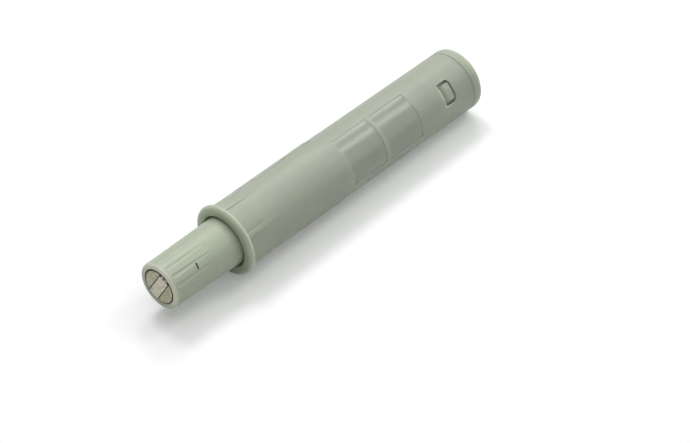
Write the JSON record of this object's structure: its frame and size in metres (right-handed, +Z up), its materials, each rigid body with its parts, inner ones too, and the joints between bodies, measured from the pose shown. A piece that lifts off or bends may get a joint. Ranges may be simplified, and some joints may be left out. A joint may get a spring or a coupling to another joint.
{
  "type": "push to open catch",
  "caption": "Tubular push-to-open door catch for a drilled hole: a sprung plunger with a magnetic nose that a heart-shaped track holds in or lets out at each push.",
  "frame": {"origin": "on the barrel's axis, in the back face of the flange that seats on the carcass", "axes": "+Y along the barrel's axis from the door towards the rear, +Z up as the catch lies on its side"},
  "size_m": [0.011, 0.0621, 0.011],
  "materials": {
    "moulded_shell": "fine matte moulded surface, sage grey",
    "moulded_slider": "smooth moulded surface, pale grey, slippery acetal",
    "spring_wire": "drawn spring steel",
    "plated_magnet": "dull nickel plate",
    "pole_steel": "dull nickel plate, slightly stained"
  },
  "bodies": {
    "housing": {"barrel": "moulded_shell", "rear_cap": "moulded_shell", "keeper_spring": "spring_wire", "main_spring": "spring_wire"},
    "plunger": {"plunger": "moulded_slider"},
    "follower": {"follower_pin": "spring_wire"},
    "magnet_head": {"magnet_holder": "moulded_slider", "magnet_block": "plated_magnet", "pole_piece_upper": "pole_steel", "pole_piece_lower": "pole_steel"},
    "nose": {"nose_sleeve": "moulded_shell"}
  },
  "joints": [
    {"name": "plunger_slide", "type": "slide", "parent": "housing", "child": "plunger", "axis": [0, 1, 0], "range_m": [0, 0.012], "stiffness_N_per_m": 400, "springref_m": -0.0075, "deforming": ["main_spring"]},
    {"name": "follower_swing", "type": "hinge", "parent": "housing", "child": "follower", "pos_m": [0, 0.043, 0], "axis": [-0.6428, 0, 0.766], "range_deg": [0, 8.8]},
    {"name": "nose_adjust", "type": "slide", "parent": "plunger", "child": "magnet_head", "axis": [0, -1, 0], "range_m": [-0.001, 0.003]},
    {"name": "nose_turn", "type": "hinge", "parent": "magnet_head", "child": "nose", "pos_m": [0, 0, 0], "axis": [0, 1, 0], "range_deg": [-180.1, 540.1]}
  ],
  "couplings": [
    {"joint": "nose_turn", "follows": "nose_adjust", "rad_per_m": 3141.6}
  ]
}
